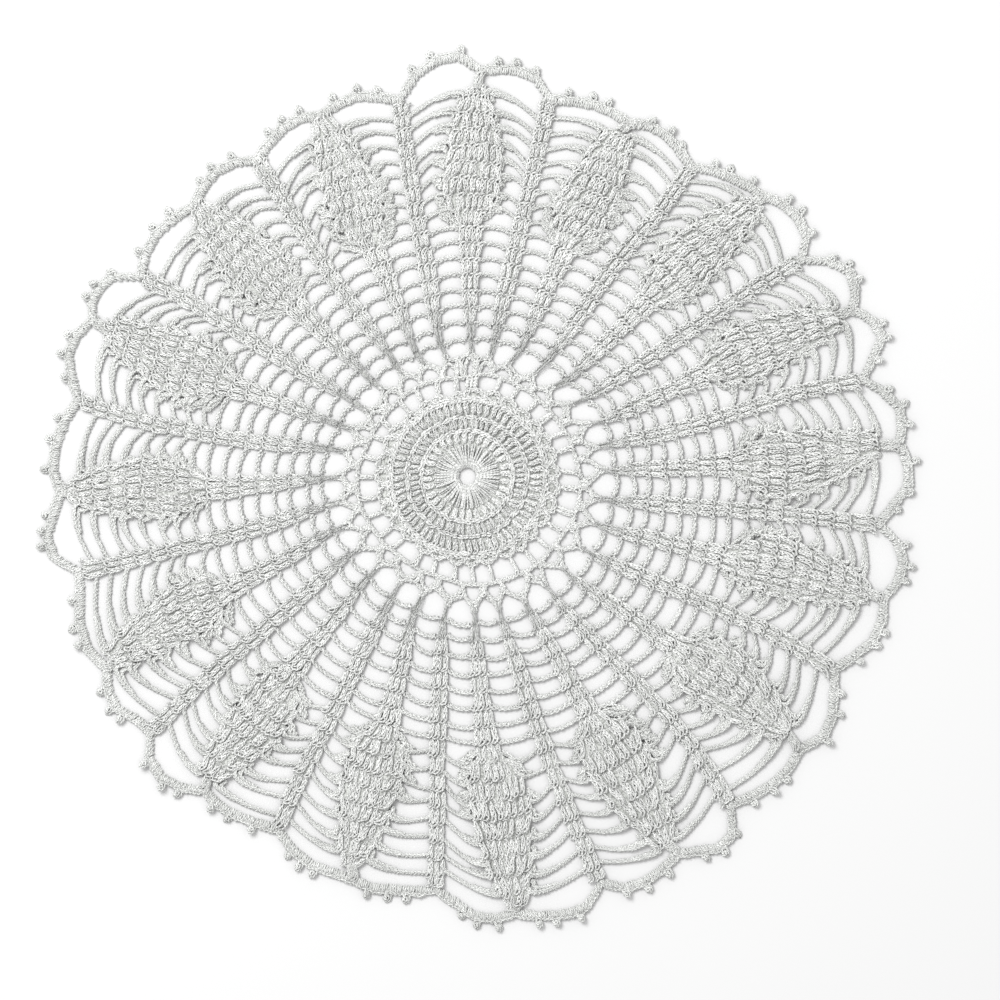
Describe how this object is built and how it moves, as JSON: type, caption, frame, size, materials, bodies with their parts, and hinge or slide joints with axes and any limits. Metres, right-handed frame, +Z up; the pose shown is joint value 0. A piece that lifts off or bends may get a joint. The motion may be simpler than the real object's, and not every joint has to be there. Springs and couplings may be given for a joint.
{
  "type": "lace doily",
  "caption": "Round crocheted lace doily that lies flat: dense middle, ladder net, ring of leaves and a scalloped edging with small picots.",
  "frame": {"origin": "middle of the box round the cloth, on the surface it lies on", "axes": "+Z up, out of the cloth's face; +Y towards the top of the round as laid, +X to its right"},
  "size_m": [0.2818, 0.2826, 0.0028],
  "materials": {
    "cotton_thread": "matt mercerised cotton thread, white"
  },
  "bodies": {
    "root": {"doily": "cotton_thread"}
  },
  "joints": []
}
